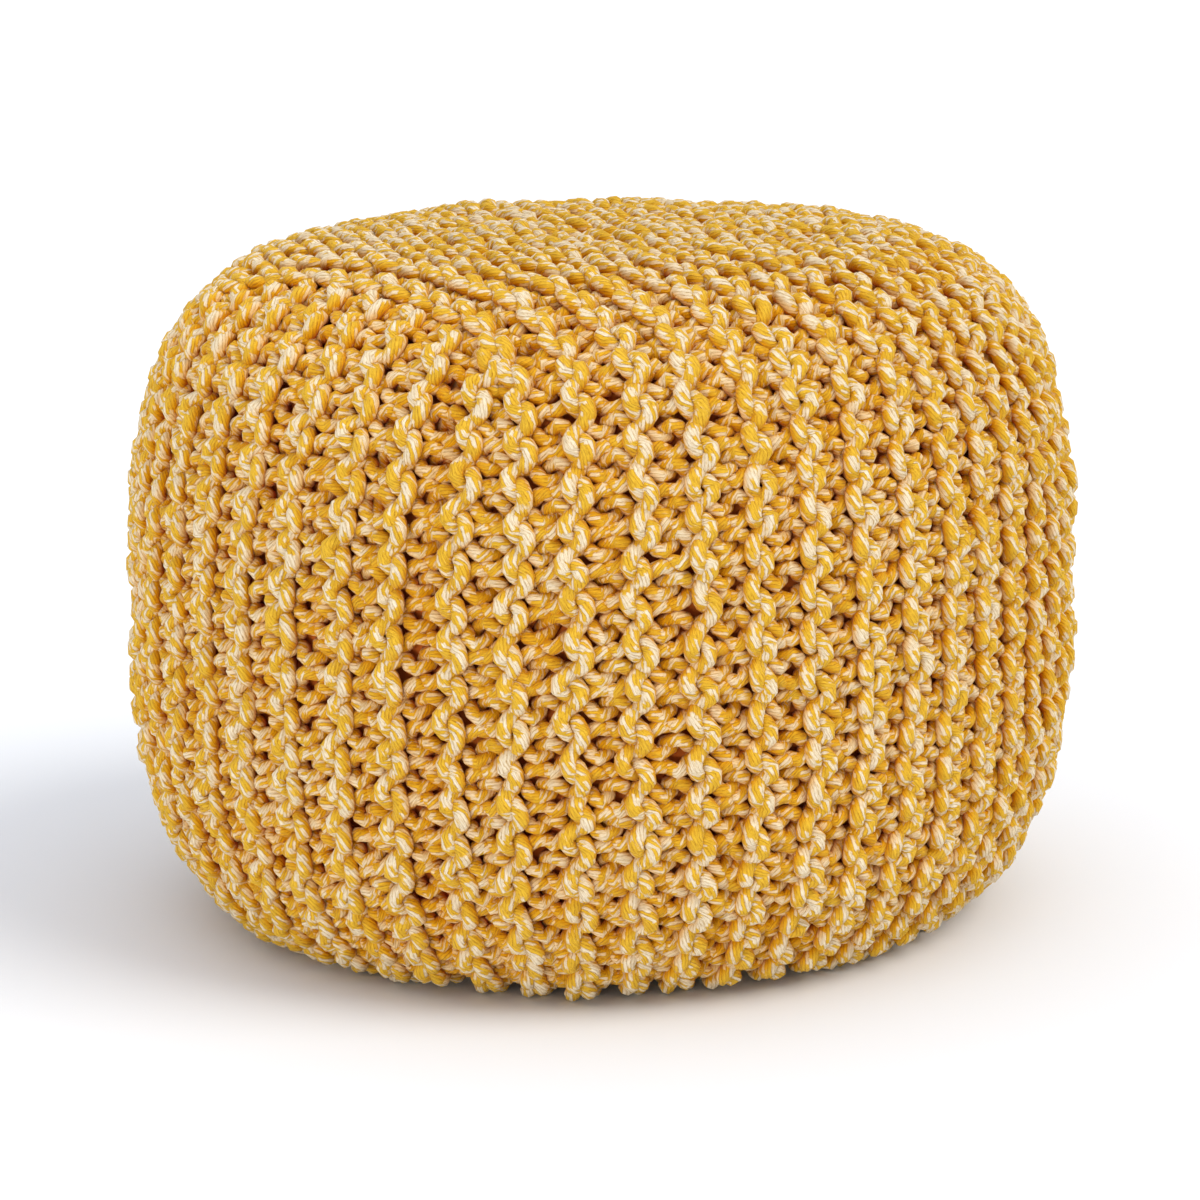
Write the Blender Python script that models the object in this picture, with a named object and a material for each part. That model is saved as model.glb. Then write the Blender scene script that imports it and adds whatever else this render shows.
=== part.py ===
# Knitted pouf: one filled body in a chunky garter-stitch cover. Every two rows of stitches stand
# up as one rounded ridge. The ridges run up the side from the flat base. Those of two opposite
# groups carry on side by side over the crown, and the shorter ones between them stop at the
# shoulder, against the outermost of the long ones.

import math

import bmesh
import bpy
import numpy as np

# Driving dimensions, in metres
POUF_RADIUS = 0.250  # over the crests of the ridges, at the belly
POUF_HEIGHT = 0.360
BELLY_HEIGHT = 0.143  # the widest ring, above the floor
FOOT_RADIUS = 0.186  # where the knit leaves the floor
CROWN_POWERS = (5.4, 3.15)  # superellipse powers, across and up: higher is squarer
FOOT_POWERS = (1.6, 2.45)
LEAN = 0.0165  # how far the filling has settled towards +X, for each metre of height

RIDGES_OVER = 17  # ridges that run over the crown
RIDGES_SHORT = 10  # ridges on each flank that stop at the shoulder
RIDGE_COUNT = 2 * (RIDGES_OVER + RIDGES_SHORT)  # round the side
RIDGE_RISE = 0.0075  # crest above valley
FOOT_FADE = 0.030  # height over which the ridges flatten down to the floor

CROWN_AXIS = math.radians(311.5)  # azimuth from which the ridges run over the crown
FRONT_MIDDLE = math.radians(307.8)  # middle of their front ends, before the shift below
SHIFT = 0.12  # how far, in radians, the ridges of the front are pushed round to the right
SHIFT_FROM = math.radians(200.0)
SHIFT_BLEND = 0.02
CROWN_RADIUS = 0.218  # where the ridges turn to cross the crown
CROWN_SIDES = (-0.172, 0.182)  # the outermost long ridges, from the middle of the crown
TURN_LENGTH = 0.060  # how far in the turn is finished
CROWN_WAVE = 0.0010  # unevenness of the knit on the crown
WAVES_PER_METRE = 70.0  # in radians

SEAM_RIDGE = 52  # the side seam lies in the valley after this ridge
SEAM_DIP = 0.003

SAG = 0.0012  # how far the filling presses the belly out of round

COLUMNS_PER_RIDGE = 4  # two on the crest, one on each side of it in the valley
SIDE_RINGS = 12
CURVE_POINTS = 1200  # along the profile, before its rings are picked

YARN_COLOUR = (0.66, 0.40, 0.07, 1.0)
YARN_ROUGHNESS = 0.85


def pouf_profile():
    """Radius and height of the crests, and the outward direction there, from the middle of the
    crown to the foot."""
    quarter = np.linspace(0.0, math.pi / 2, CURVE_POINTS)
    across, up = CROWN_POWERS
    crown_radius = POUF_RADIUS * np.sin(quarter) ** (2 / across)
    crown_height = BELLY_HEIGHT + (POUF_HEIGHT - BELLY_HEIGHT) * np.cos(quarter) ** (2 / up)
    across, up = FOOT_POWERS
    foot_radius = FOOT_RADIUS + (POUF_RADIUS - FOOT_RADIUS) * np.cos(quarter) ** (2 / across)
    foot_height = BELLY_HEIGHT * (1.0 - np.sin(quarter) ** (2 / up))
    radius = np.concatenate([crown_radius, foot_radius[1:]])
    height = np.concatenate([crown_height, foot_height[1:]])
    along = np.concatenate([[0.0], np.cumsum(np.hypot(np.diff(radius), np.diff(height)))])
    even = np.linspace(0.0, along[-1], CURVE_POINTS)
    radius = np.interp(even, along, radius)
    height = np.interp(even, along, height)
    return even, radius, height, -np.gradient(height, even), np.gradient(radius, even)


def column_azimuth(column):
    """Azimuth of a column of points, counted from the left end of the front group. The shift is
    a half wave over the front, so the ridges lie wider apart on the left than on the right."""
    step = 2 * math.pi / (RIDGE_COUNT * COLUMNS_PER_RIDGE)
    even = FRONT_MIDDLE + (column + 0.5 - RIDGES_OVER * COLUMNS_PER_RIDGE / 2) * step
    wave = np.sin(even - SHIFT_FROM)
    return even + SHIFT * (wave + np.sqrt(wave * wave + SHIFT_BLEND)) / 2


def column_depth(column):
    """How deep a column lies under the crests: nothing on a crest, the full rise in a valley."""
    valley = np.isin(column % COLUMNS_PER_RIDGE, (0, COLUMNS_PER_RIDGE - 1))
    seam = np.isin(column // COLUMNS_PER_RIDGE, (SEAM_RIDGE, SEAM_RIDGE + 1))
    beside_seam = column % COLUMNS_PER_RIDGE == np.where(
        column // COLUMNS_PER_RIDGE == SEAM_RIDGE, COLUMNS_PER_RIDGE - 1, 0
    )
    return RIDGE_RISE * valley, SEAM_DIP * (seam & beside_seam)


def crown_plan(front_column, back_column, place_across, share):
    """Plan of one column over the crown, from its front end to its back end. It turns from where
    it reaches the crown to its own place beside its neighbours within the turn length."""
    ends = []
    for column in (front_column, back_column):
        azimuth = column_azimuth(column) - CROWN_AXIS
        ends.append((CROWN_RADIUS * np.cos(azimuth), CROWN_RADIUS * np.sin(azimuth)))
    (front_along, front_across), (back_along, back_across) = ends
    along = front_along + (back_along - front_along) * share
    turn_front = np.clip(1.0 - (front_along - along) / TURN_LENGTH, 0.0, 1.0) ** 2
    turn_back = np.clip(1.0 - (along - back_along) / TURN_LENGTH, 0.0, 1.0) ** 2
    across = place_across
    across = across + (front_across - place_across) * turn_front
    across = across + (back_across - place_across) * turn_back
    x = along * math.cos(CROWN_AXIS) - across * math.sin(CROWN_AXIS)
    y = along * math.sin(CROWN_AXIS) + across * math.cos(CROWN_AXIS)
    return x, y


def side_sag(height, azimuth):
    """The filling presses the side slightly out of round, most at the belly."""
    share = np.sin(math.pi * height / POUF_HEIGHT)
    return SAG * share * (1.0 - np.cos(4 * azimuth)) / 2


def on_body(station, azimuth, depth):
    """Points at the arc station and azimuth, this deep under the crests."""
    along, radius, height, out_r, out_z = pouf_profile()
    radius, height, out_r, out_z = [
        np.interp(station, along, value) for value in (radius, height, out_r, out_z)
    ]
    depth = depth * np.clip(height / FOOT_FADE, 0.0, 1.0)
    reach = radius - depth * out_r - side_sag(height, azimuth)
    x = reach * np.cos(azimuth) + LEAN * (height - BELLY_HEIGHT)
    return np.stack([x, reach * np.sin(azimuth), height - depth * out_z], axis=-1)


def place_points(vertices, station, azimuth, depth):
    for vertex, spot in zip(vertices, on_body(station, azimuth, depth)):
        vertex.co = spot


def knitted_pouf():
    """A grid over the crown, whose rim is extruded ring by ring down the side and closed by the
    flat base."""
    across_count = RIDGES_OVER * COLUMNS_PER_RIDGE
    along_count = RIDGES_SHORT * COLUMNS_PER_RIDGE + 2
    column_count = RIDGE_COUNT * COLUMNS_PER_RIDGE
    arc, radius = pouf_profile()[:2]
    crown_arc = arc[: np.argmax(radius)]
    crown_radius = radius[: np.argmax(radius)]

    model = bmesh.new()
    bmesh.ops.create_grid(
        model, x_segments=across_count - 1, y_segments=along_count - 1, size=1.0
    )
    square = np.array([vertex.co[:2] for vertex in model.verts])
    across = np.rint((square[:, 0] + 1.0) / 2 * (across_count - 1)).astype(int)
    share = (square[:, 1] + 1.0) / 2
    row = np.rint(share * (along_count - 1)).astype(int)
    last_across, last_row = across_count - 1, along_count - 1
    back = across_count + along_count - 2 + last_across - across
    left, right = CROWN_SIDES
    x, y = crown_plan(across, back, left + (right - left) * across / last_across, share)
    station = np.interp(np.hypot(x, y), crown_radius, crown_arc)
    wave = CROWN_WAVE * (1.0 + np.sin(WAVES_PER_METRE * x) * np.sin(WAVES_PER_METRE * y)) / 2
    place_points(model.verts, station, np.arctan2(y, x), column_depth(across)[0] + wave)

    # Each point of the rim starts one column of the side. Columns are counted round the side.
    rim_column = np.select(
        [row == 0, across == last_across, row == last_row],
        [across, last_across + row, back],
        (column_count - row) % column_count,
    )
    column_layer = model.verts.layers.int.new("column")
    start = np.zeros(column_count)
    start_azimuth = np.zeros(column_count)
    for index, vertex in enumerate(model.verts):
        vertex[column_layer] = int(rim_column[index])
        if vertex.is_boundary:
            start[rim_column[index]] = station[index]
            start_azimuth[rim_column[index]] = math.atan2(y[index], x[index])

    rim = [edge for edge in model.edges if edge.is_boundary]
    for ring in range(1, SIDE_RINGS + 1):
        made = bmesh.ops.extrude_edge_only(model, edges=rim)["geom"]
        rim = [item for item in made if isinstance(item, bmesh.types.BMEdge) and item.is_boundary]
        new_points = [item for item in made if isinstance(item, bmesh.types.BMVert)]
        column = np.array([vertex[column_layer] for vertex in new_points])
        down = ring / SIDE_RINGS
        settled = min(1.0, 3 * down)  # share of the way from the rim's azimuth to the column's own
        own = column_azimuth(column)
        turn = (own - start_azimuth[column] + math.pi) % (2 * math.pi) - math.pi
        azimuth = start_azimuth[column] + turn * settled
        depth, seam = column_depth(column)
        place_points(new_points, start[column] + (arc[-1] - start[column]) * down, azimuth,
                     depth + seam * settled)
    bmesh.ops.holes_fill(model, edges=rim, sides=0)
    bmesh.ops.recalc_face_normals(model, faces=model.faces)

    # The origin is in the middle of the whole body, on the floor.
    spots = np.array([vertex.co[:] for vertex in model.verts])
    middle = (spots[:, :2].max(axis=0) + spots[:, :2].min(axis=0)) / 2
    bmesh.ops.translate(model, verts=model.verts, vec=(-middle[0], -middle[1], 0.0))
    mesh = bpy.data.meshes.new("knitted_pouf")
    model.to_mesh(mesh)
    model.free()
    mesh.shade_smooth()
    return bpy.data.objects.new("knitted_pouf", mesh)


def yarn_material():
    material = bpy.data.materials.new("mustard_yarn")
    material.use_nodes = True
    shader = material.node_tree.nodes["Principled BSDF"]
    shader.inputs["Base Color"].default_value = YARN_COLOUR
    shader.inputs["Roughness"].default_value = YARN_ROUGHNESS
    shader.inputs["Metallic"].default_value = 0.0
    return material


def main():
    for thing in list(bpy.data.objects):
        bpy.data.objects.remove(thing)
    collection = bpy.data.collections.new("knitted_pouf")
    bpy.context.scene.collection.children.link(collection)
    pouf = knitted_pouf()
    pouf.data.materials.append(yarn_material())
    collection.objects.link(pouf)


main()
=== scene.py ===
# Knitted floor pouf: thick marled cotton cord in garter stitch over a filled casing.
# The rows of knitting stand as ridges: up the side, side by side over the crown, and down again.
import math

import bpy
import numpy as np
from mathutils import Matrix, Vector


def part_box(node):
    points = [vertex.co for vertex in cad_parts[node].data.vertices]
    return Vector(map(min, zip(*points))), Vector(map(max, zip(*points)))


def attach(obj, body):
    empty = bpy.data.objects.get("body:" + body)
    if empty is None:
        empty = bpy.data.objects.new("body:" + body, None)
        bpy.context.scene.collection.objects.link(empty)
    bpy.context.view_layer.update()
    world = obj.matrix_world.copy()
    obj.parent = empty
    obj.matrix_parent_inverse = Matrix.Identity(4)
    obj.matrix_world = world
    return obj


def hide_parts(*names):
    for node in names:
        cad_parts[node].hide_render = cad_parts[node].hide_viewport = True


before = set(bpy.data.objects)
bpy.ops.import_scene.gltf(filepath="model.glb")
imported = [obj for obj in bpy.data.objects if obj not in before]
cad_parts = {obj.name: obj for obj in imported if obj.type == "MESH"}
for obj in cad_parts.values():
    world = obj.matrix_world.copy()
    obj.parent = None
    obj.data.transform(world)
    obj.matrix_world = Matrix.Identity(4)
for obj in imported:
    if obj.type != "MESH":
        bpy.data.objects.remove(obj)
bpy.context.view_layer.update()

lowCorner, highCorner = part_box("knitted_pouf")
print("frame loaded, pouf", [round(v, 3) for v in highCorner - lowCorner])

mm = 0.001
tau = 2 * math.pi

# the pouf's shape, with the sizes of its solid
pouf = {
    "radius": 0.250,             # over the crests of the ridges
    "height": 0.360,
    "bellyHeight": 0.143,
    "footRadius": 0.186,         # where the knit leaves the floor
    "crownPowers": (5.4, 3.15),  # superellipse, across and up
    "footPowers": (1.6, 2.45),
    "lean": 0.0165,              # settled towards +X, per metre of height
    "sag": 0.0012,               # belly pressed out of round
    "profilePoints": 2400,
    "outwardSpread": 30,         # points on either side that the outward direction is averaged over
    "onFloor": 1e-6,             # a height that counts as nothing
}

ridges = {
    "over": 17,                          # run over the crown
    "short": 10,                         # on each flank, up to the shoulder only
    "count": 54,                         # round the side
    "axis": math.radians(311.5),         # azimuth they cross the crown from
    "frontMiddle": math.radians(307.8),
    "shift": 0.12,                       # the front ones are pushed round to the right, radians
    "shiftFrom": math.radians(200.0),
    "shiftBlend": 0.02,
    "crownRadius": 0.218,                # where they turn onto the crown
    "crownSides": (-0.168, 0.182),       # the outermost two, from the middle
    "crownPoints": 160,
    "turnLength": 0.060,
    # how near the middle of the base each stops, in turn
    "baseEnds": (0.020, 0.128, 0.064, 0.142, 0.042, 0.100),
    "baseTaper": 0.022,
    "baseStart": 0.7,                    # share of the taper after which a line starts
    "baseRows": 240,
    "noWidth": 1e-9,                     # for a ridge that has stopped, so its middle stays defined
    "sideStep": 2 * mm,                  # between the points of a line, before it is evened
    "driftReach": 0.8,                   # of the way down to the widest ring
    "flankStart": 0.6,                   # in ridges, the place of the first short one at the shoulder
    "flankSpare": 0.2,                   # and the room left over there
    "flankGap": 9 * mm,                  # short ones stop this far outside the outermost long one
    "lineStep": 2.5 * mm,
    "lineRounding": (8, 8, 4),           # steps on either side, in turn
    "neighbourAlong": 4 * mm,            # a neighbour is at most this far along the ridge
    "neighbourAcross": 4 * mm,           # and at least this far across it
    "neighbourDeep": 30 * mm,
    "noNeighbour": 31 * mm,              # the distance taken where there is none
    "halfWidths": (6.5 * mm, 16.5 * mm),     # narrowest and widest half of a ridge
    "valleyRounding": (6, 4),
    "seam": 52,                          # side seam in the valley after this one
    "seamDip": 1.5 * mm,
    "seamEdge": (1 * mm, 10 * mm),       # across the ridge, from where the dip starts to where it is full
}


def smoothStep(low, high, value):
    # 3 x^2 - 2 x^3 of the share x of the way from low to high
    share = np.clip((value - low) / (high - low), 0.0, 1.0)
    return share * share * (3.0 - 2.0 * share)


def softened(values, width):
    # running mean with the end values repeated
    flat = values.reshape(len(values), -1)
    padded = np.concatenate([np.repeat(flat[:1], width, 0), flat, np.repeat(flat[-1:], width, 0)])
    total = np.cumsum(np.concatenate([np.zeros((1, flat.shape[1])), padded]), axis=0)
    mean = (total[2 * width + 1:] - total[:-2 * width - 1]) / (2 * width + 1)
    return mean.reshape(values.shape)


def crestProfile():
    # Two superellipse quarters over a flat base, by arc length. Above the belly r = R sin^(2/a) and
    # z = belly + (H - belly) cos^(2/b). Below it r = foot + (R - foot) cos^(2/a) and
    # z = belly (1 - sin^(2/b)).
    quarter = np.linspace(0.0, math.pi / 2, pouf["profilePoints"])
    across, up = pouf["crownPowers"]
    belly, top = pouf["bellyHeight"], pouf["height"]
    crownR = pouf["radius"] * np.sin(quarter) ** (2 / across)
    crownZ = belly + (top - belly) * np.cos(quarter) ** (2 / up)
    across, up = pouf["footPowers"]
    footR = pouf["footRadius"] + (pouf["radius"] - pouf["footRadius"]) * np.cos(quarter) ** (2 / across)
    footZ = belly * (1.0 - np.sin(quarter) ** (2 / up))
    r = np.concatenate([crownR, footR[1:], [0.0]])
    z = np.concatenate([crownZ, footZ[1:], [0.0]])
    along = np.concatenate([[0.0], np.cumsum(np.hypot(np.diff(r), np.diff(z)))])
    even = np.linspace(0.0, along[-1], pouf["profilePoints"])
    return even, np.interp(even, along, r), np.interp(even, along, z)


arc, crestR, crestZ = crestProfile()
outR = softened(-np.gradient(crestZ, arc), pouf["outwardSpread"])
outZ = softened(np.gradient(crestR, arc), pouf["outwardSpread"])
outSize = np.hypot(outR, outZ)
outR, outZ = outR / outSize, outZ / outSize
viewAngle = -np.arctan2(crestZ - pouf["bellyHeight"], crestR)  # rises from the crown to the base
widest = int(np.argmax(crestR))
rimArc = float(np.interp(ridges["crownRadius"], crestR[:widest], arc[:widest]))
footArc = float(arc[np.argmax((arc > arc[widest]) & (crestZ <= pouf["onFloor"]))])


def stationOf(points):
    # arc station of the crest in the direction of each point, seen from the middle of the belly
    r = np.hypot(points[:, 0], points[:, 1])
    return np.interp(-np.arctan2(points[:, 2] - pouf["bellyHeight"], r), viewAngle, arc)


def onCrest(s, angle):
    # the profile at arc station s, turned about the pouf's axis: (r cos, r sin, z)
    r = np.interp(s, arc, crestR)
    return np.stack([r * np.cos(angle), r * np.sin(angle), np.interp(s, arc, crestZ)], axis=-1)


def outwardAt(s, angle):
    # the profile's outward direction, turned in the same way
    r = np.interp(s, arc, outR)
    return np.stack([r * np.cos(angle), r * np.sin(angle), np.interp(s, arc, outZ)], axis=-1)


def place(s, angle, depth):
    # Crest point less depth times outward. The belly is pressed in by sag sin(pi z / H)
    # (1 - cos 4 angle) / 2, and the body leans towards +X in proportion to the height.
    points = onCrest(s, angle) - depth[:, None] * outwardAt(s, angle)
    height = np.interp(s, arc, crestZ)
    sag = pouf["sag"] * np.sin(math.pi * height / pouf["height"]) * (1 - np.cos(4 * angle)) / 2
    points[:, 0] += pouf["lean"] * (points[:, 2] - pouf["bellyHeight"]) - sag * np.cos(angle)
    points[:, 1] -= sag * np.sin(angle)
    return points


def ridgeAzimuth(number):
    # Even steps round the side, counted from the left end of the front group, plus a soft half wave.
    even = ridges["frontMiddle"] + (number - (ridges["over"] - 1) / 2) * tau / ridges["count"]
    wave = np.sin(even - ridges["shiftFrom"])
    return even + ridges["shift"] * (wave + np.sqrt(wave * wave + ridges["shiftBlend"])) / 2


def baseTable():
    # Azimuth of each ridge on the base. Its share of the circle is its width at the foot, shrunk by a
    # smooth step to nothing where it stops, and middles are the running sums of the shares.
    radius = np.linspace(0.0, pouf["footRadius"], ridges["baseRows"])
    edges = ridgeAzimuth(np.arange(ridges["count"] + 1) - 0.5)
    ends = np.resize(ridges["baseEnds"], ridges["count"])
    share = np.diff(edges) * smoothStep(ends, ends + ridges["baseTaper"], radius[:, None])
    share += ridges["noWidth"]
    share *= tau / share.sum(axis=1, keepdims=True)
    return radius, edges[0] + np.cumsum(share, axis=1) - share / 2, ends


# where the ridges run
baseRadius, baseMiddle, baseEnd = baseTable()


def sidePart(number, top, fromAzimuth):
    # Arc stations and azimuths up one side: from its end on the base, out to the foot, and up to the
    # given station. Its azimuth drifts to the given one by the square of the way up.
    number = int(number)
    inner = baseEnd[number] + ridges["baseStart"] * ridges["baseTaper"]
    radius = np.arange(inner, pouf["footRadius"], ridges["sideStep"])
    own = float(ridgeAzimuth(number))
    baseAngle = np.interp(radius, baseRadius, baseMiddle[:, number])
    s = np.arange(footArc, top, -ridges["sideStep"])
    drift = np.clip(1.0 - (s - top) / ((arc[widest] - top) * ridges["driftReach"]), 0.0, 1.0) ** 2
    turn = (fromAzimuth - own + math.pi) % tau - math.pi
    baseArc = arc[-1] - radius
    return np.concatenate([baseArc, s]), np.concatenate([baseAngle, own + turn * drift])


def crownPlan(front, back, placeAcross, share):
    # The plan of a line over the crown: evenly beside its neighbours, but at either end it turns to
    # its own place on the rim, by the square of the share of the turn's length.
    ends = []
    for number in (front, back):
        a = ridgeAzimuth(number) - ridges["axis"]
        ends.append(ridges["crownRadius"] * np.array([math.cos(a), math.sin(a)]))
    (frontAlong, frontAcross), (backAlong, backAcross) = ends
    along = frontAlong + (backAlong - frontAlong) * share
    turnFront = np.clip(1.0 - (frontAlong - along) / ridges["turnLength"], 0.0, 1.0) ** 2
    turnBack = np.clip(1.0 - (along - backAlong) / ridges["turnLength"], 0.0, 1.0) ** 2
    across = placeAcross + (frontAcross - placeAcross) * turnFront
    across = across + (backAcross - placeAcross) * turnBack
    c, s = math.cos(ridges["axis"]), math.sin(ridges["axis"])
    return along * c - across * s, along * s + across * c


def evenLine(points):
    # The line resampled by length, its bends rounded by running means, and laid back onto the crests.
    step = ridges["lineStep"]
    for width in ridges["lineRounding"]:
        length = np.concatenate([[0.0], np.cumsum(np.linalg.norm(np.diff(points, axis=0), axis=1))])
        even = np.linspace(0.0, length[-1], int(length[-1] / step) + 2)
        points = np.stack([np.interp(even, length, points[:, k]) for k in range(3)], axis=1)
        inner = softened(points, width)
        inner[0], inner[-1] = points[0], points[-1]
        points = onCrest(stationOf(inner), np.arctan2(inner[:, 1], inner[:, 0]))
    length = np.concatenate([[0.0], np.cumsum(np.linalg.norm(np.diff(points, axis=0), axis=1))])
    return length, points


def longLine(index):
    # From its end on the base up the front, over the crown, and down the back to the base.
    front, back = index, 2 * ridges["over"] + ridges["short"] - 1 - index
    left, right = ridges["crownSides"]
    share = np.linspace(0.0, 1.0, ridges["crownPoints"])
    x, y = crownPlan(front, back, left + (right - left) * index / (ridges["over"] - 1), share)
    crownS = np.interp(np.hypot(x, y), crestR[:widest], arc[:widest])
    up = onCrest(*sidePart(front, rimArc, float(ridgeAzimuth(front))))
    down = onCrest(*sidePart(back, rimArc, float(ridgeAzimuth(back))))[::-1]
    return evenLine(np.concatenate([up, onCrest(crownS, np.arctan2(y, x)), down]))


def shortLine(number):
    # From its end on the base up one flank, until just under the outermost ridge of the crown.
    over, short = ridges["over"], ridges["short"]
    left = number >= 2 * over + short
    outermost = 0 if left else over - 1
    order = ridges["count"] - 1 - number if left else number - over    # counted from the front
    share = (order + ridges["flankStart"]) / (short + ridges["flankSpare"])
    side = ridges["crownSides"][0 if left else 1]
    side += math.copysign(ridges["flankGap"], side)
    back = 2 * over + short - 1 - outermost
    x, y = crownPlan(outermost, back, side, np.array([share]))
    top = float(np.interp(math.hypot(x[0], y[0]), crestR[:widest], arc[:widest]))
    return evenLine(onCrest(*sidePart(number, top, math.atan2(y[0], x[0]))))


class RidgeLine:
    # One ridge: its points on the crests by length, the directions along, out and across, and from
    # valleys() how far the valleys lie to the left and right.
    def __init__(self, number, isLong):
        self.number = number
        self.isLong = isLong
        self.length, self.points = longLine(number) if isLong else shortLine(number)
        self.station = stationOf(self.points)
        self.out = outwardAt(self.station, np.arctan2(self.points[:, 1], self.points[:, 0]))
        along = np.gradient(self.points, self.length, axis=0)
        along -= (along * self.out).sum(axis=1, keepdims=True) * self.out
        self.along = along / np.linalg.norm(along, axis=1, keepdims=True)
        self.across = np.cross(self.along, self.out)


def valleys(line, everyLine):
    # Half the distance, across the ridge, to the nearest point of any other ridge on that side.
    # Every second point of the others is close enough.
    others = np.concatenate([other.points[::2] for other in everyLine if other is not line])
    away = others[None, :, :] - line.points[:, None, :]
    sideways = np.einsum("ijk,ik->ij", away, line.across)
    near = np.abs(np.einsum("ijk,ik->ij", away, line.along)) < ridges["neighbourAlong"]
    near &= np.abs(np.einsum("ijk,ik->ij", away, line.out)) < ridges["neighbourDeep"]
    for sign, name in ((-1, "left"), (1, "right")):
        beside = near & (sign * sideways > ridges["neighbourAcross"])
        gap = np.where(beside, sign * sideways, ridges["noNeighbour"]).min(axis=1)
        half = np.clip(gap / 2, *ridges["halfWidths"])
        for width in ridges["valleyRounding"]:
            half = softened(half, width)
        setattr(line, name, half)


lines = [RidgeLine(number, True) for number in range(ridges["over"])]
flanks = [range(ridges["over"], ridges["over"] + ridges["short"]),
          range(ridges["count"] - ridges["short"], ridges["count"])]
lines += [RidgeLine(number, False) for flank in flanks for number in flank]
for line in lines:
    valleys(line, lines)
print("ridge lines", len(lines), "total", round(sum(line.length[-1] for line in lines), 2), "m")


def tubeRing(path, outward, radius, sides):
    # Section circles carried along a path: centre + radius (cos v side + sin v out), where
    # side = tangent x outward and out = side x tangent.
    tangent = np.roll(path, -1, axis=0) - np.roll(path, 1, axis=0)
    tangent /= np.linalg.norm(tangent, axis=1, keepdims=True)
    side = np.cross(tangent, outward)
    side /= np.linalg.norm(side, axis=1, keepdims=True)
    out = np.cross(side, tangent)
    v = np.arange(sides) * tau / sides
    ring = np.cos(v)[None, :, None] * side[:, None, :] + np.sin(v)[None, :, None] * out[:, None, :]
    return path[:, None, :] + radius[:, None, None] * ring


def closedTube(path, outward, radius, sides, startLength):
    # Points, quads and the UVs of their corners for a tube closed on itself: u is the length in metres
    # and v goes once round.
    count = len(path)
    points = tubeRing(path, outward, radius, sides).reshape(-1, 3)
    i, j = np.meshgrid(np.arange(count), np.arange(sides), indexing="ij")
    nextI, nextJ = (i + 1) % count, (j + 1) % sides
    quads = np.stack([i * sides + j, i * sides + nextJ, nextI * sides + nextJ, nextI * sides + j], axis=-1)
    step = np.linalg.norm(np.roll(path, -1, axis=0) - path, axis=1)
    u = startLength + np.concatenate([[0.0], np.cumsum(step)])
    u0, u1 = u[i], u[i + 1]
    v0, v1 = j / sides, (j + 1) / sides
    uv = np.stack([u0, v0, u0, v1, u1, v1, u1, v0], axis=-1)
    return points, quads.reshape(-1, 4), uv.reshape(-1, 4, 2)


def meshFromParts(name, parts, material):
    # Joins the parts, each with its points, quads, UVs and crease depths in mm, into one mesh object.
    offsets = np.cumsum([0] + [len(p[0]) for p in parts[:-1]])
    points = np.concatenate([p[0] for p in parts])
    quads = np.concatenate([p[1] + o for p, o in zip(parts, offsets)])
    uvs = np.concatenate([p[2] for p in parts])
    crease = np.concatenate([p[3] for p in parts])
    mesh = bpy.data.meshes.new(name)
    mesh.vertices.add(len(points))
    mesh.vertices.foreach_set("co", points.astype(np.float32).ravel())
    mesh.loops.add(quads.size)
    mesh.loops.foreach_set("vertex_index", quads.astype(np.int32).ravel())
    mesh.polygons.add(len(quads))
    mesh.polygons.foreach_set("loop_start", np.arange(0, quads.size, 4, dtype=np.int32))
    mesh.uv_layers.new(name="alongAndRound")
    mesh.uv_layers[0].uv.foreach_set("vector", uvs.astype(np.float32).ravel())
    creaseDepth = mesh.attributes.new("creaseDepth", "FLOAT", "POINT")
    creaseDepth.data.foreach_set("value", crease.astype(np.float32))
    mesh.update(calc_edges=True)
    mesh.validate()
    mesh.shade_smooth()
    mesh.materials.append(material)
    piece = bpy.data.objects.new(name, mesh)
    bpy.context.scene.collection.objects.link(piece)
    return piece


class Nodes:
    # A short way to write a node tree: each call adds one node and links its inputs.
    def __init__(self, name):
        self.material = bpy.data.materials.new(name)
        self.material.use_nodes = True
        self.tree = self.material.node_tree
        self.shader = self.tree.nodes["Principled BSDF"]

    def add(self, kind, inputs=None, **settings):
        node = self.tree.nodes.new(kind)
        for key, value in settings.items():
            setattr(node, key, value)
        for key, value in (inputs or {}).items():
            self.put(node.inputs[key], value)
        return node

    def put(self, socket, value):
        if isinstance(value, bpy.types.NodeSocket):
            self.tree.links.new(value, socket)
        else:
            socket.default_value = value

    def math(self, operation, *values):
        node = self.add("ShaderNodeMath", operation=operation)
        for socket, value in zip(node.inputs, values):
            self.put(socket, value)
        return node.outputs[0]

    def span(self, value, low, high):
        # 0 below low, 1 above high, smooth between
        inputs = {"Value": value, "From Min": low, "From Max": high}
        return self.add("ShaderNodeMapRange", inputs, interpolation_type="SMOOTHSTEP").outputs[0]

    def noise(self, where, scale, detail=2.0, rough=0.5):
        inputs = {"Vector": where, "Scale": scale, "Detail": detail, "Roughness": rough}
        return self.add("ShaderNodeTexNoise", inputs).outputs[0]

    def mix(self, factor, a, b, blend="MIX"):
        node = self.add("ShaderNodeMix", data_type="RGBA", blend_type=blend)
        self.put(node.inputs["Factor"], factor)
        self.put(node.inputs["A"], a)
        self.put(node.inputs["B"], b)
        return node.outputs["Result"]

    def relief(self, height, strength, distance):
        inputs = {"Height": height, "Strength": strength, "Distance": distance}
        self.put(self.shader.inputs["Normal"], self.add("ShaderNodeBump", inputs).outputs[0])


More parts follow.
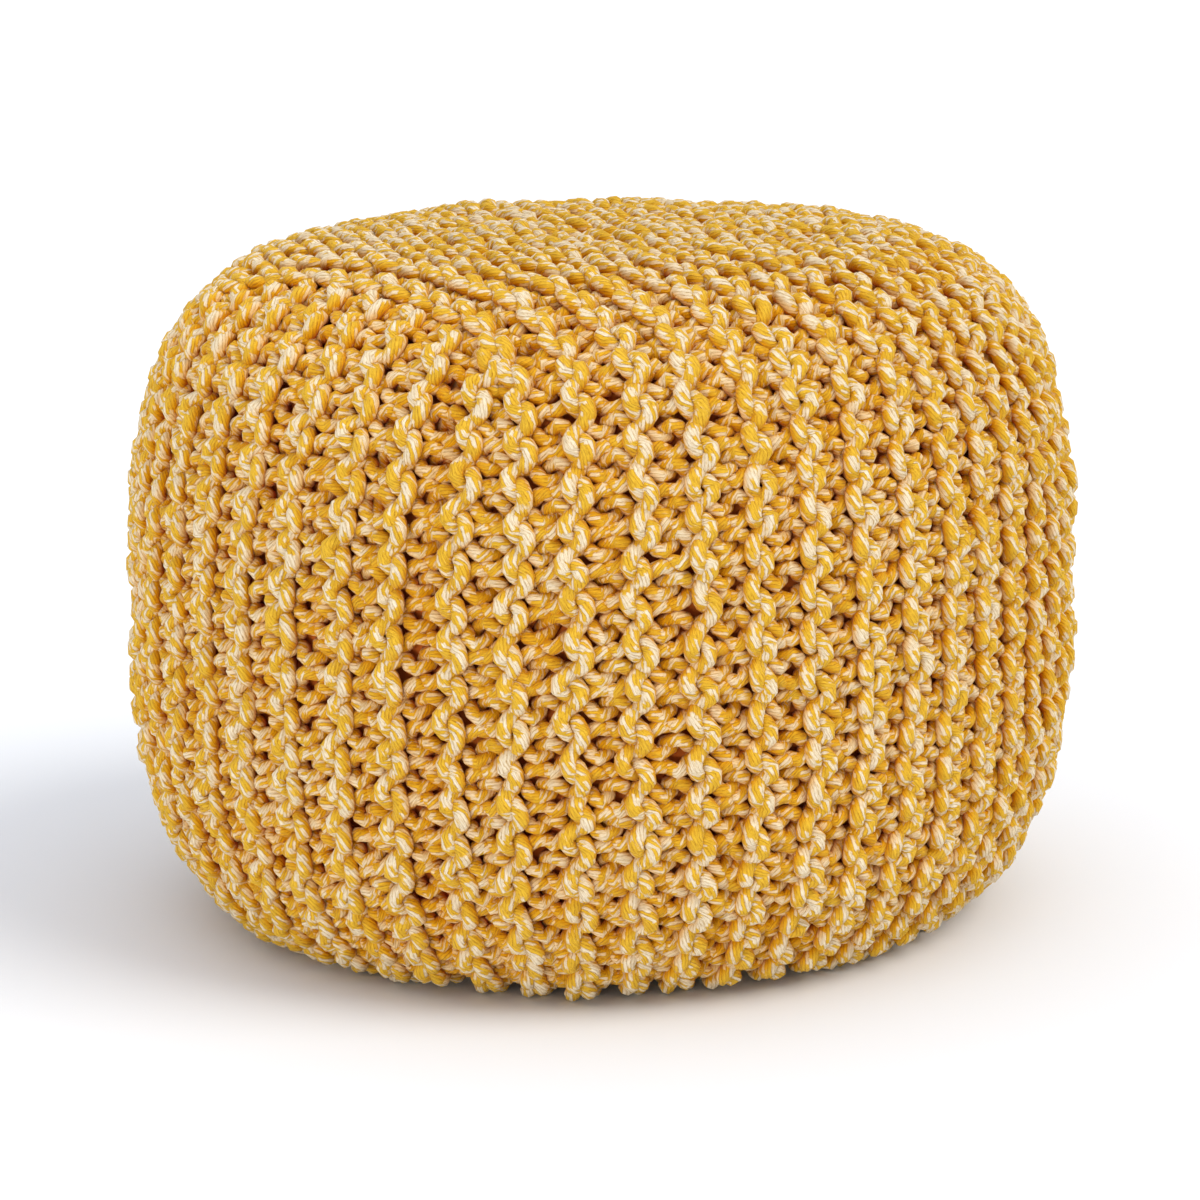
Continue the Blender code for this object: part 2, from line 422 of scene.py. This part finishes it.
cordLook = {
    # the shaded colours are painted shade, mixed in by how deep a point lies in a crease
    "mustard": (0.775, 0.475, 0.040, 1.0),        # as it looks on the crests, where no painted shade is mixed in
    "shadedMustard": (0.74, 0.325, 0.003, 1.0),   # painted shade: the darker, warmer copy in the creases, where light has bounced about
    "cream": (0.85, 0.755, 0.59, 1.0),
    "shadedCream": (0.87, 0.575, 0.24, 1.0),
    "shadedFrom": (2.0, 12.0),      # mm deep in a crease, where the painted shade colours start and are full
    # painted shade, darker still in the deepest creases
    "deepPaintedShade": (0.66, 0.20, 0.02, 1.0),
    "deepFrom": (10.0, 21.0),       # mm deep, where the painted deep shade starts and is full
    "flankDepth": 5.0,              # mm, how much deeper the cord's flanks count than its front, so they take more painted shade
    "twistLength": 0.025,           # one full turn of the plies
    "plies": 12,
    "plyStep": 13.7,                # how far apart two plies read the same noise
    "coreRadius": 3.7,              # mm
    "dashLength": 6.2,              # mm, of one colour along a ply
    "creamFrom": 0.525,
    "creamEdge": 0.02,
    "creamShare": 0.92,
    # both noises lie round the cord, and a small stretch draws them out along it
    "fibres": {"stretch": 0.14, "scale": 3.0, "detail": 4.0, "rough": 0.75},
    "fray": {"stretch": 0.5, "scale": 1.3, "detail": 3.0, "rough": 0.7},
    "fraySway": 0.10,               # of a turn, how far frayed plies wander
    "dashFray": 1.2,
    "fibreTint": (0.70, 0.56, 0.34, 1.0),
    "fibreFrom": (0.58, 0.32),
    "groovePaintedShade": (0.62, 0.42, 0.20, 1.0),        # painted shade in the groove between two plies
    "grooveFrom": (0.55, 0.0),
    "grooveFray": (0.35, 0.60),
    "grooveShare": 0.8,
    "groovePower": 0.5,
    "grooveHeight": 0.5,            # of the relief, with the rest from the fibres
    "fibreHeight": 0.5,
    "reliefStrength": 0.8,
    "reliefDepth": 0.0008,
    "roughness": 0.85,
    "shine": 0.06,
    "fuzz": 0.18,                   # light caught by loose fibres along the cord's edges
    "fuzzRoughness": 0.4,
    "fuzzColour": (1.0, 0.82, 0.48, 1.0),
}


def cordMaterial():
    # Marled cord. In turns round the cord, helix = v - u / twist stays constant along a ply, so its
    # fraction tells the ply. Each ply goes from mustard to cream and back along its length by its own
    # smooth noise. Shade is painted into the colour: darker, warmer copies deeper in the creases, darker
    # still in the deepest parts, and in the grooves between the plies.
    look = cordLook
    white = (1.0, 1.0, 1.0, 1.0)
    n = Nodes("marledCord")
    uv = n.add("ShaderNodeUVMap", uv_map="alongAndRound").outputs[0]
    parts = n.add("ShaderNodeSeparateXYZ", {0: uv})
    lengthMm = n.math("MULTIPLY", parts.outputs["X"], 1 / mm)
    turns = n.math("DIVIDE", parts.outputs["X"], look["twistLength"])
    helix = n.math("SUBTRACT", parts.outputs["Y"], turns)
    angle = n.math("MULTIPLY", helix, tau)
    c = n.math("MULTIPLY", n.math("COSINE", angle), look["coreRadius"])
    s = n.math("MULTIPLY", n.math("SINE", angle), look["coreRadius"])

    def grain(noise):
        along = n.math("MULTIPLY", lengthMm, noise["stretch"])
        where = n.add("ShaderNodeCombineXYZ", {0: c, 1: s, 2: along}).outputs[0]
        return n.noise(where, noise["scale"], noise["detail"], noise["rough"])

    fibre = grain(look["fibres"])
    fray = grain(look["fray"])
    loose = n.math("MULTIPLY", n.math("SUBTRACT", fray, 0.5), look["fraySway"])
    plyPlace = n.math("MULTIPLY", n.math("FRACT", n.math("ADD", helix, loose)), look["plies"])
    ply = n.math("FLOOR", plyPlace)
    dashPlace = n.math("DIVIDE", lengthMm, look["dashLength"])
    plyApart = n.math("MULTIPLY", ply, look["plyStep"])
    where = n.add("ShaderNodeCombineXYZ", {0: dashPlace, 1: plyApart}).outputs[0]
    dash = n.math("ADD", n.noise(where, 1.0, 0.0), n.math("MULTIPLY", loose, look["dashFray"]))
    edge = look["creamEdge"]
    isCream = n.span(dash, look["creamFrom"] - edge, look["creamFrom"] + edge)
    # painted shade: mustard and cream go over to their shaded copies deeper in a crease
    crease = n.add("ShaderNodeAttribute", attribute_name="creaseDepth").outputs["Fac"]
    shaded = n.span(crease, *look["shadedFrom"])
    mustard = n.mix(shaded, look["mustard"], look["shadedMustard"])
    cream = n.mix(shaded, look["cream"], look["shadedCream"])
    colour = n.mix(n.math("MULTIPLY", isCream, look["creamShare"]), mustard, cream)
    # painted shade in the grooves between the plies
    between = n.math("ABSOLUTE", n.math("SINE", n.math("MULTIPLY", plyPlace, math.pi)))
    groove = n.math("MULTIPLY", n.span(between, *look["grooveFrom"]), n.span(fray, *look["grooveFray"]))
    grooveMix = n.math("MULTIPLY", groove, look["grooveShare"])
    colour = n.mix(grooveMix, colour, look["groovePaintedShade"], "MULTIPLY")
    colour = n.mix(n.span(fibre, *look["fibreFrom"]), colour, look["fibreTint"], "MULTIPLY")
    # painted shade: the colour is darker still deep in the creases
    deepShadeColour = n.mix(n.span(crease, *look["deepFrom"]), white, look["deepPaintedShade"])
    n.put(n.shader.inputs["Base Color"], n.mix(1.0, colour, deepShadeColour, "MULTIPLY"))

    plyRound = n.math("POWER", between, look["groovePower"])
    plyHeight = n.math("MULTIPLY", plyRound, look["grooveHeight"])
    height = n.math("ADD", plyHeight, n.math("MULTIPLY", fibre, look["fibreHeight"]))
    n.relief(height, look["reliefStrength"], look["reliefDepth"])
    n.shader.inputs["Roughness"].default_value = look["roughness"]
    n.shader.inputs["Specular IOR Level"].default_value = look["shine"]
    n.shader.inputs["Sheen Weight"].default_value = look["fuzz"]
    n.shader.inputs["Sheen Roughness"].default_value = look["fuzzRoughness"]
    n.shader.inputs["Sheen Tint"].default_value = look["fuzzColour"]
    return n.material


# the knit
knit = {
    "pitch": 19.5 * mm,         # one stitch along its ridge
    "cordRadius": 3.85 * mm,
    "fuller": 0.25 * mm,        # the cord is that much thicker in front and thinner behind
    "bulge": 4.5 * mm,          # how far a loop is wider at its head than at its neck
    "hook": 0.28,               # how much the ends of a loop's arc turn in
    "skew": 0.10,               # of a stitch, each column up or down
    "widths": np.array([17, 22, 30]) * mm,       # ridge widths that the three tables below go by
    "columnGap": np.array([7.4, 8.0, 9.2]) * mm,
    "rise": np.array([4.8, 3.8, 2.8]) * mm,      # first and third wave of the loop's depth
    "kink": np.array([3.0, 3.2, 3.5]) * mm,
    "anchor": 0.250,            # height where the stitches of all sides line up, and stretch above it
    "frontArc": 75,             # degrees of a stitch to either side of its front, and of its back
    "backArc": 60,
    "frontSteps": 9,
    "legSteps": 2,
    "backSteps": 4,
    "sides": 8,
    "endSpare": 0.15,           # of a stitch, left free at the ends of a ridge
    "endSteps": 8,
    "endReach": 12 * mm,        # how far the cord turns past them
    "colourStep": 7.31,         # metres of cord between the colours of one ridge and the next
    "unevenAlong": 1.5 * mm,
    "unevenAcross": 1.25 * mm,
    "unevenDeep": 0.75 * mm,
    "unevenSunk": 0.8,          # of unevenDeep, how deep the knit lies on average
    "waves": 18,                # in each of its fields of unevenness
    "waveLengths": (28 * mm, 90 * mm),
    "deepWaveLengths": (25 * mm, 80 * mm),
    "loopJitter": 0.85 * mm,
    "jitterDeep": 0.5,          # of the jitter, in depth
    "seed": 7,
    "pieces": 6,
}

rng = np.random.default_rng(knit["seed"])


def waveField(shortest, longest):
    # Random smooth unevenness in space: a sum of plane waves with random directions and lengths.
    count = knit["waves"]
    directions = rng.normal(size=(count, 3))
    directions /= np.linalg.norm(directions, axis=1, keepdims=True)
    return {"waves": directions * tau / rng.uniform(shortest, longest, (count, 1)),
            "phase": rng.uniform(0.0, tau, count)}


def fieldValue(field, points):
    # sum of cos(wave . point + phase), scaled to a spread of one
    phase = points @ field["waves"].T + field["phase"]
    return np.cos(phase).sum(axis=1) * math.sqrt(2 / len(field["phase"]))


fieldAlong = waveField(*knit["waveLengths"])
fieldAcross = waveField(*knit["waveLengths"])
fieldDeep = waveField(*knit["deepWaveLengths"])


def stitchStations(frontAtHead):
    # Angles t of one stitch, closer together on its front arc: the front, a leg, the back, a leg.
    frontEnd, backStart = knit["frontArc"], 180 - knit["backArc"]
    front = np.linspace(-frontEnd, frontEnd, knit["frontSteps"] + 1)
    legOut = np.linspace(frontEnd, backStart, knit["legSteps"] + 1)[1:]
    back = np.linspace(backStart, 360 - backStart, knit["backSteps"] + 1)[1:]
    legIn = np.linspace(360 - backStart, 360 - frontEnd, knit["legSteps"] + 1)[1:-1]
    u = np.radians(np.concatenate([front, legOut, back, legIn]))
    return u + math.pi if frontAtHead else u


def stitchScale(line):
    # Lengths and stitch numbers along a ridge. All sides count from the same station. On the crown a
    # whole number falls on the line through its middle, so the stitches stretch a little on the way.
    pitch = knit["pitch"]
    anchor = float(np.interp(-knit["anchor"], -crestZ[:widest], arc[:widest]))
    upper = np.flatnonzero(line.station < anchor)
    first = line.length[upper[0]]
    if not line.isLong:
        toTop = round((line.length[-1] - first) / pitch)
        return np.array([0.0, first, line.length[-1]]), np.array([-first / pitch, 0.0, toTop])
    last = line.length[upper[-1]]
    c, s = math.cos(ridges["axis"]), math.sin(ridges["axis"])
    along = line.points[:, 0] * c + line.points[:, 1] * s
    middle = line.length[upper[np.argmin(np.abs(along[upper]))]]
    toMiddle = round((middle - first) / pitch)
    toLast = toMiddle + round((last - middle) / pitch)
    lengths = np.array([0.0, first, middle, last, line.length[-1]])
    numbers = [-first / pitch, 0.0, toMiddle, toLast, toLast + (line.length[-1] - last) / pitch]
    return lengths, np.array(numbers)


def knitRow(line, scale, knitFace, firstStitch, lastStitch):
    # One row: s = p t / 2pi + a sin 2t along the ridge, across it from the sinker's column to the
    # head's by (1 - cos t) / 2 + q sin^2 t cos t, and depth = mid -+ (d1 cos t + d3 cos 3t). Knit rows
    # have their heads in front, on the ridge. The rows between have their sinkers there, one column to
    # the left. Each half stitch has a random shift of its own.
    stations = stitchStations(knitFace)
    t = (stations[None, :] + tau * np.arange(firstStitch - 1, lastStitch + 1)[:, None]).ravel()
    t = t[(t >= tau * firstStitch) & (t <= tau * lastStitch)]
    lengths, numbers = scale
    skew = knit["skew"] if knitFace else -knit["skew"]
    s = np.interp(t / tau + skew, numbers, lengths) + knit["bulge"] * np.sin(2 * t)
    left = np.interp(s, line.length, line.left)
    right = np.interp(s, line.length, line.right)
    width = left + right
    half = np.interp(width, knit["widths"], knit["columnGap"]) / 2
    swing = (1 - np.cos(t)) / 2 + knit["hook"] * np.sin(t) ** 2 * np.cos(t)
    if knitFace:
        across = (-left - half) * (1 - swing) + half * swing
    else:
        across = -half * (1 - swing) + (right + half) * swing
    d1 = np.interp(width, knit["widths"], knit["rise"])
    d3 = np.interp(width, knit["widths"], knit["kink"])
    wave = d1 * np.cos(t) + d3 * np.cos(3 * t)
    depth = knit["cordRadius"] + d1 + d3 + (wave if knitFace else -wave)
    marks = np.arange(2 * firstStitch - 2, 2 * lastStitch + 3) / 2
    loose = rng.normal(size=(3, len(marks))) * knit["loopJitter"]
    s = s + np.interp(t / tau, marks, loose[0])
    across = across + np.interp(t / tau, marks, loose[1])
    depth = depth + knit["jitterDeep"] * np.interp(t / tau, marks, loose[2])
    front = np.cos(t) * (-1 if knitFace else 1)
    return s, across, depth, knit["cordRadius"] + knit["fuller"] * front


def turnBetween(a, b, sign):
    # A half turn of cord from a to b past the end of a ridge: every value goes over by 3 x^2 - 2 x^3,
    # and the one along the ridge also swings out and back by x - x^2.
    share = np.linspace(0, 1, knit["endSteps"])[1:-1]
    reach = knit["endReach"] * sign
    over = 3 * share ** 2 - 2 * share ** 3
    mixed = [x * (1 - over) + y * over for x, y in zip(a, b)]
    mixed[0] = mixed[0] + (share - share ** 2) * reach
    return mixed


def ridgePath(line):
    # Both rows of a ridge as one closed run of cord: up one row, back down the next.
    scale = stitchScale(line)
    firstStitch = int(math.ceil(scale[1][0] + knit["endSpare"]))
    lastStitch = int(math.floor(scale[1][-1] - (knit["endSpare"] if line.isLong else 0.0)))
    up = knitRow(line, scale, True, firstStitch, lastStitch)
    down = [values[::-1] for values in knitRow(line, scale, False, firstStitch, lastStitch)]
    top = turnBetween([v[-1] for v in up], [v[0] for v in down], 1)
    foot = turnBetween([v[-1] for v in down], [v[0] for v in up], -1)
    return [np.concatenate(run) for run in zip(up, top, down, foot)]


def alongLine(line, s, values):
    # The line's own values at lengths s, with its end values past its two ends.
    return np.stack([np.interp(s, line.length, values[:, k]) for k in range(3)], axis=1)


def seamDip(line, across):
    # Beside the side seam the edges of both ridges lie deeper: from nothing at the crest to the full dip.
    side = int(line.number == ridges["seam"]) - int(line.number == ridges["seam"] + 1)
    return ridges["seamDip"] * smoothStep(*ridges["seamEdge"], side * across)


def ridgeTube(line):
    # The ridge's cord: its path laid on the pouf beside the ridge's line, moved by the unevenness, and a
    # tube along it. Past the ends of the line the path goes straight on.
    s, across, depth, radius = ridgePath(line)
    clear = np.clip(s, 0.0, line.length[-1])
    forward = alongLine(line, clear, line.along)
    sideways = alongLine(line, clear, line.across)
    base = alongLine(line, clear, line.points) + (s - clear)[:, None] * forward
    lie = base + across[:, None] * sideways
    lie += knit["unevenAlong"] * fieldValue(fieldAlong, lie)[:, None] * forward
    lie += knit["unevenAcross"] * fieldValue(fieldAcross, lie)[:, None] * sideways
    sunk = knit["unevenSunk"] + fieldValue(fieldDeep, lie)
    depth = depth + knit["unevenDeep"] * sunk + seamDip(line, across)
    station, angle = stationOf(lie), np.arctan2(lie[:, 1], lie[:, 0])
    path = place(station, angle, depth)
    path[:, 2] = np.maximum(path[:, 2], radius)    # the cord lies on the floor
    outward = outwardAt(station, angle)
    tube = closedTube(path, outward, radius, knit["sides"], line.number * knit["colourStep"])
    # for the painted shade in its colour, how deep each point of the cord lies: under the crests, or round
    # on its flank
    toFront = np.sin(np.arange(knit["sides"]) * tau / knit["sides"])
    flank = cordLook["flankDepth"] * mm * (1 - toFront)
    return *tube, ((depth[:, None] - radius[:, None] * toFront + flank) / mm).ravel()


cord = cordMaterial()
tubes = [ridgeTube(line) for line in lines]
# neighbouring ridges share a piece, and the pieces are of about the same size
sizes = np.cumsum([len(tube[1]) for tube in tubes])
groupOf = np.minimum((sizes - 1) * knit["pieces"] // sizes[-1], knit["pieces"] - 1)
for group in range(knit["pieces"]):
    members = [tubes[k] for k in np.flatnonzero(groupOf == group)]
    piece = meshFromParts(f"knitRidges{group + 1}", members, cord)
    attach(piece, "root")
    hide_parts("knitted_pouf")
    print(piece.name, "triangles", 2 * len(piece.data.polygons))


# the filled casing under the knit
casing = {
    "depth": 18.0 * mm,   # below the crests, behind the back of the loops
    "across": 160,
    "down": 90,
    "dark": (0.66, 0.12, 0.008, 1.0),
    "light": (0.82, 0.19, 0.014, 1.0),
    "weaveScale": 900.0,
    "weaveStrength": 0.3,
    "weaveDepth": 0.0004,
    "roughness": 0.9,
}


def casingMaterial():
    # dark and light threads by a fine noise
    n = Nodes("casingCloth")
    where = n.add("ShaderNodeTexCoord").outputs["Object"]
    weave = n.noise(where, casing["weaveScale"])
    n.put(n.shader.inputs["Base Color"], n.mix(weave, casing["dark"], casing["light"]))
    n.relief(weave, casing["weaveStrength"], casing["weaveDepth"])
    n.shader.inputs["Roughness"].default_value = casing["roughness"]
    return n.material


def casingPiece():
    # The pouf's profile set in by one depth and turned about its axis. Its first and last rings have
    # shrunk to a point, which closes the poles.
    stations = np.linspace(0, arc[-1], casing["down"])
    angles = np.arange(casing["across"]) * tau / casing["across"]
    s, angle = np.meshgrid(stations, angles, indexing="ij")
    depth = np.full(s.size, casing["depth"])
    points = place(s.ravel(), angle.ravel(), depth)
    rows, columns = s.shape
    i, j = np.meshgrid(np.arange(rows - 1), np.arange(columns), indexing="ij")
    nextJ = (j + 1) % columns
    corners = [i * columns + j, (i + 1) * columns + j, (i + 1) * columns + nextJ, i * columns + nextJ]
    quads = np.stack(corners, axis=-1).reshape(-1, 4)
    uv = np.zeros((len(quads), 4, 2))
    return meshFromParts("filledCasing", [(points, quads, uv, depth / mm)], casingMaterial())


filled = casingPiece()
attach(filled, "root")
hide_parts("knitted_pouf")
print("casing made")


# floor, light and camera
stage = {
    "floorSize": 40.0,
    "floorColour": (0.815, 0.84, 0.885, 1.0),
    "floorRoughness": 0.9,
    "skyColour": (0.97, 0.985, 1.02, 1.0),
    "skyLow": 0.38,            # strength near the horizon, and overhead
    "skyHigh": 1.15,
    "skyFrom": 0.15,           # upward part of the direction where it starts to brighten, and stops
    "skyTo": 0.75,
    "aim": (0, 0, 0.15),       # where the lights point
    "key": {"from": (1.76, -0.82, 2.2), "colour": (1.0, 0.96, 0.87), "softness": math.radians(34),
            "strength": 1.65},
    "fill": {"from": (-1.7, -3.0, 0.16), "width": 2.8, "height": 0.24, "watts": 46},
}


def makeStage():
    half = stage["floorSize"] / 2
    mesh = bpy.data.meshes.new("floor")
    corners = [(-half, -half, 0), (half, -half, 0), (half, half, 0), (-half, half, 0)]
    mesh.from_pydata(corners, [], [(0, 1, 2, 3)])
    n = Nodes("paleFloor")
    n.shader.inputs["Base Color"].default_value = stage["floorColour"]
    n.shader.inputs["Roughness"].default_value = stage["floorRoughness"]
    mesh.materials.append(n.material)
    floor = bpy.data.objects.new("floor", mesh)
    bpy.context.scene.collection.objects.link(floor)
    # a soft sky, brighter overhead
    world = bpy.data.worlds.new("studio")
    world.use_nodes = True
    tree = world.node_tree
    direction = tree.nodes.new("ShaderNodeTexCoord").outputs["Generated"]
    parts = tree.nodes.new("ShaderNodeSeparateXYZ")
    tree.links.new(direction, parts.inputs[0])
    fade = tree.nodes.new("ShaderNodeMapRange")
    fade.inputs["From Min"].default_value = stage["skyFrom"]
    fade.inputs["From Max"].default_value = stage["skyTo"]
    fade.inputs["To Min"].default_value = stage["skyLow"]
    fade.inputs["To Max"].default_value = stage["skyHigh"]
    tree.links.new(parts.outputs["Z"], fade.inputs["Value"])
    background = tree.nodes["Background"]
    background.inputs["Color"].default_value = stage["skyColour"]
    tree.links.new(fade.outputs[0], background.inputs["Strength"])
    bpy.context.scene.world = world


def addLight(name, kind, spot, **settings):
    light = bpy.data.lights.new(name, kind)
    for key, value in settings.items():
        setattr(light, key, value)
    lamp = bpy.data.objects.new(name, light)
    lamp.location = spot
    towards = Vector(stage["aim"]) - Vector(spot)
    lamp.rotation_euler = towards.to_track_quat("-Z", "Y").to_euler()
    bpy.context.scene.collection.objects.link(lamp)


shot = {
    "distance": 2.0,
    "elevation": 12.0,     # degrees above level
    "roll": 1.02,          # degrees
    "focal": 3782.0,       # pixels of the 1200 pixel frame
    "frame": 1200.0,
    "sensor": 36.0,
    "middle": (600.8, 560.6),  # where the middle of the pouf falls in the frame
}


def makeCamera():
    # Back along the line of sight from the middle of the pouf, then turned by the small angles that
    # bring that middle to its place in the frame.
    data = bpy.data.cameras.new("camera")
    data.sensor_width = shot["sensor"]
    data.lens = shot["focal"] / shot["frame"] * data.sensor_width
    camera = bpy.data.objects.new("camera", data)
    bpy.context.scene.collection.objects.link(camera)
    e = math.radians(shot["elevation"])
    target = Vector((0, 0, pouf["height"] / 2))
    camera.location = target + shot["distance"] * Vector((0, -math.cos(e), math.sin(e)))
    down = math.atan((shot["frame"] / 2 - shot["middle"][1]) / shot["focal"])
    side = math.atan((shot["middle"][0] - shot["frame"] / 2) / shot["focal"])
    tilt = Matrix.Rotation(math.pi / 2 - e - down, 4, "X")
    roll = Matrix.Rotation(-math.radians(shot["roll"]), 4, "Z")
    camera.rotation_euler = (Matrix.Rotation(side, 4, "Z") @ tilt @ roll).to_euler()
    bpy.context.scene.camera = camera


makeStage()
key, fill = stage["key"], stage["fill"]
addLight("keyLight", "SUN", key["from"], angle=key["softness"], energy=key["strength"],
         color=key["colour"])
addLight("fillLight", "AREA", fill["from"], shape="RECTANGLE", size=fill["width"],
         size_y=fill["height"], energy=fill["watts"])
makeCamera()
bpy.context.scene.view_settings.view_transform = "Standard"
print("stage, lights and camera made")
